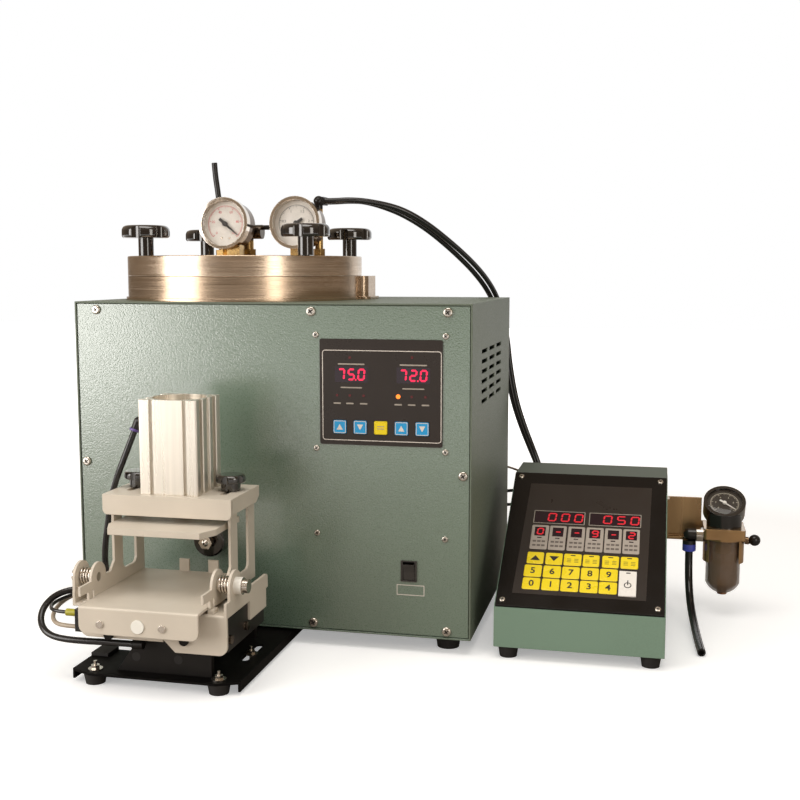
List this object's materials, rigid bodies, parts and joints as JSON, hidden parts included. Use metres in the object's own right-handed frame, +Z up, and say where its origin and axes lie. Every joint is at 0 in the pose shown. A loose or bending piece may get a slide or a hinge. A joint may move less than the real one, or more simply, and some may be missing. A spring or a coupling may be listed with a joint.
{
  "type": "jewelry wax injector",
  "caption": "Bench wax injector: heated pot with knobbed lid and gauges on a cabinet, spring-hung mould clamp at the nozzle, sloping controller and air regulator.",
  "frame": {"origin": "bottom centre of the whole machine on the bench, hoses aside", "axes": "+X to the right seen from the front, +Y to the back, +Z up"},
  "size_m": [0.6764, 0.4704, 0.4787],
  "materials": {
    "hammertone_green": "hammertone enamel, coarse glossy pebble texture",
    "black_enamel": "satin black enamel",
    "machined_aluminium": "turned and brushed",
    "anodised_aluminium": "fine satin anodised",
    "clamp_beige": "smooth satin powder coat",
    "controller_green": "fine textured green paint",
    "steel": "bright ground steel",
    "black_steel": "black oxide",
    "bracket_brown": "satin paint",
    "brass": "turned brass",
    "chrome": "polished",
    "clear_glass": "clear",
    "smoky_plastic": "smoky translucent",
    "gloss_black": "polished black phenolic",
    "satin_black": "satin black plastic",
    "panel_film": "fine textured dark film",
    "key_blue": "glossy",
    "key_yellow": "glossy",
    "key_white": "glossy",
    "circuit_board": "solder mask",
    "black_rubber": "matte",
    "silicone": "matte silicone",
    "hose_black": "semi-gloss polyurethane",
    "needle_black": "matte",
    "needle_white": "matte"
  },
  "bodies": {
    "base": {"cabinet_shell": "hammertone_green", "base_pan": "hammertone_green", "front_panel": "hammertone_green", "rear_panel": "hammertone_green", "cabinet_screws": "steel", "rubber_feet": "black_rubber", "control_panel": "panel_film", "control_boards": "circuit_board", "rocker_frame": "gloss_black", "mains_inlet": "satin_black", "wax_pot": "machined_aluminium", "heater_band": "silicone", "lid_gasket": "silicone", "nozzle_housing": "gloss_black", "nozzle_feed": "brass", "solenoid_valves": "satin_black", "clamp_base": "black_enamel", "slide_mount": "black_enamel", "slide_guides": "steel", "controller_case": "controller_green", "controller_panel": "gloss_black", "regulator_bracket": "bracket_brown", "regulator_body": "bracket_brown", "regulator_gauge": "gloss_black", "regulator_bowl": "smoky_plastic", "hose_unions": "satin_black", "lid_hoses": "hose_black", "clamp_hoses": "hose_black", "link_hoses": "hose_black", "supply_hose": "hose_black"},
    "lid": {"pot_lid": "machined_aluminium", "gauge_cases": "chrome", "gauge_lenses": "clear_glass", "lid_fittings": "brass"},
    "knob_front_left": {"lid_knob_front_left": "gloss_black"},
    "knob_front_right": {"lid_knob_front_right": "gloss_black"},
    "knob_back_left": {"lid_knob_back_left": "gloss_black"},
    "knob_back_right": {"lid_knob_back_right": "gloss_black"},
    "vacuum_pointer": {"vacuum_needle": "needle_black"},
    "pressure_pointer": {"pressure_needle": "needle_black"},
    "rocker": {"rocker_button": "gloss_black"},
    "key_1": {"panel_key_1": "key_blue"},
    "key_2": {"panel_key_2": "key_blue"},
    "key_3": {"panel_key_3": "key_yellow"},
    "key_4": {"panel_key_4": "key_blue"},
    "key_5": {"panel_key_5": "key_blue"},
    "start_button": {"start_key": "key_white"},
    "nozzle": {"nozzle_tip": "steel"},
    "carriage": {"carriage_block": "black_enamel", "carriage_bracket": "clamp_beige", "pivot_bolts": "steel", "torsion_springs": "chrome"},
    "cradle": {"mold_tray": "clamp_beige"},
    "top": {"top_plate": "clamp_beige", "cylinder_barrel": "anodised_aluminium"},
    "press": {"press_plate": "clamp_beige"},
    "clamp_knob_l": {"clamp_knob_left": "gloss_black"},
    "clamp_knob_r": {"clamp_knob_right": "gloss_black"},
    "reg_lever": {"regulator_lever": "steel"},
    "reg_pointer": {"regulator_needle": "needle_white"}
  },
  "joints": [
    {"name": "lid_lift", "type": "slide", "parent": "base", "child": "lid", "axis": [0, 0, 1], "range_m": [0, 0.06], "deforming": ["lid_hoses"]},
    {"name": "knob_front_left_turn", "type": "hinge", "parent": "lid", "child": "knob_front_left", "pos_m": [-0.2897, 0.0167, 0.39], "axis": [0, 0, 1], "continuous": true},
    {"name": "knob_front_right_turn", "type": "hinge", "parent": "lid", "child": "knob_front_right", "pos_m": [-0.1157, 0.0107, 0.39], "axis": [0, 0, 1], "continuous": true},
    {"name": "knob_back_left_turn", "type": "hinge", "parent": "lid", "child": "knob_back_left", "pos_m": [-0.2817, 0.1607, 0.39], "axis": [0, 0, 1], "continuous": true},
    {"name": "knob_back_right_turn", "type": "hinge", "parent": "lid", "child": "knob_back_right", "pos_m": [-0.1072, 0.1447, 0.39], "axis": [0, 0, 1], "continuous": true},
    {"name": "vacuum_pointer_turn", "type": "hinge", "parent": "lid", "child": "vacuum_pointer", "pos_m": [-0.2178, 0.0497, 0.413], "axis": [0, -0.9962, 0.0872], "range_deg": [-5, 265], "stiffness_Nm_per_rad": 0.0002},
    {"name": "pressure_pointer_turn", "type": "hinge", "parent": "lid", "child": "pressure_pointer", "pos_m": [-0.1397, 0.0497, 0.413], "axis": [0, -0.9962, 0.0872], "range_deg": [-259, 11], "stiffness_Nm_per_rad": 0.0002},
    {"name": "rocker_tilt", "type": "hinge", "parent": "base", "child": "rocker", "pos_m": [0.0021, -0.0403, 0.0794], "axis": [1, 0, 0], "range_deg": [-16, 0]},
    {"name": "key_1_press", "type": "slide", "parent": "base", "child": "key_1", "axis": [0, 1, 0], "range_m": [0, 0.0008], "stiffness_N_per_m": 400, "springref_m": -0.0005},
    {"name": "key_2_press", "type": "slide", "parent": "base", "child": "key_2", "axis": [0, 1, 0], "range_m": [0, 0.0008], "stiffness_N_per_m": 400, "springref_m": -0.0005},
    {"name": "key_3_press", "type": "slide", "parent": "base", "child": "key_3", "axis": [0, 1, 0], "range_m": [0, 0.0008], "stiffness_N_per_m": 400, "springref_m": -0.0005},
    {"name": "key_4_press", "type": "slide", "parent": "base", "child": "key_4", "axis": [0, 1, 0], "range_m": [0, 0.0008], "stiffness_N_per_m": 400, "springref_m": -0.0005},
    {"name": "key_5_press", "type": "slide", "parent": "base", "child": "key_5", "axis": [0, 1, 0], "range_m": [0, 0.0008], "stiffness_N_per_m": 400, "springref_m": -0.0005},
    {"name": "start_press", "type": "slide", "parent": "base", "child": "start_button", "axis": [0, 0.5348, -0.845], "range_m": [0, 0.0008], "stiffness_N_per_m": 500, "springref_m": -0.0006},
    {"name": "nozzle_press", "type": "slide", "parent": "base", "child": "nozzle", "axis": [0, 1, 0], "range_m": [0, 0.003], "stiffness_N_per_m": 2000, "springref_m": -0.002},
    {"name": "carriage_slide", "type": "slide", "parent": "base", "child": "carriage", "axis": [0, 1, 0], "range_m": [0, 0.024], "stiffness_N_per_m": 400, "springref_m": -0.01, "deforming": ["clamp_hoses"]},
    {"name": "cradle_tilt", "type": "hinge", "parent": "carriage", "child": "cradle", "pos_m": [-0.1942, -0.1803, 0.095], "axis": [1, 0, 0], "range_deg": [-3, 0], "stiffness_Nm_per_rad": 6, "springref_deg": 20.05, "deforming": ["torsion_springs", "clamp_hoses"]},
    {"name": "top_slide", "type": "slide", "parent": "cradle", "child": "top", "axis": [0, 1, 0], "range_m": [-0.01, 0.006], "deforming": ["clamp_hoses"]},
    {"name": "press_stroke", "type": "slide", "parent": "top", "child": "press", "axis": [0, 0, -1], "range_m": [0, 0.04], "stiffness_N_per_m": 300, "springref_m": -0.05},
    {"name": "clamp_knob_l_turn", "type": "hinge", "parent": "cradle", "child": "clamp_knob_l", "pos_m": [-0.2394, -0.1158, 0.17], "axis": [0, 0, 1], "continuous": true},
    {"name": "clamp_knob_r_turn", "type": "hinge", "parent": "cradle", "child": "clamp_knob_r", "pos_m": [-0.149, -0.1158, 0.17], "axis": [0, 0, 1], "continuous": true},
    {"name": "regulator_lever_turn", "type": "hinge", "parent": "base", "child": "reg_lever", "pos_m": [0.3238, 0.1447, 0.0815], "axis": [1, 0, 0], "range_deg": [0, 90]},
    {"name": "regulator_pointer_turn", "type": "hinge", "parent": "base", "child": "reg_pointer", "pos_m": [0.3008, 0.1447, 0.1227], "axis": [0, -0.6018, 0.7986], "range_deg": [-7, 263], "stiffness_Nm_per_rad": 0.0002}
  ]
}
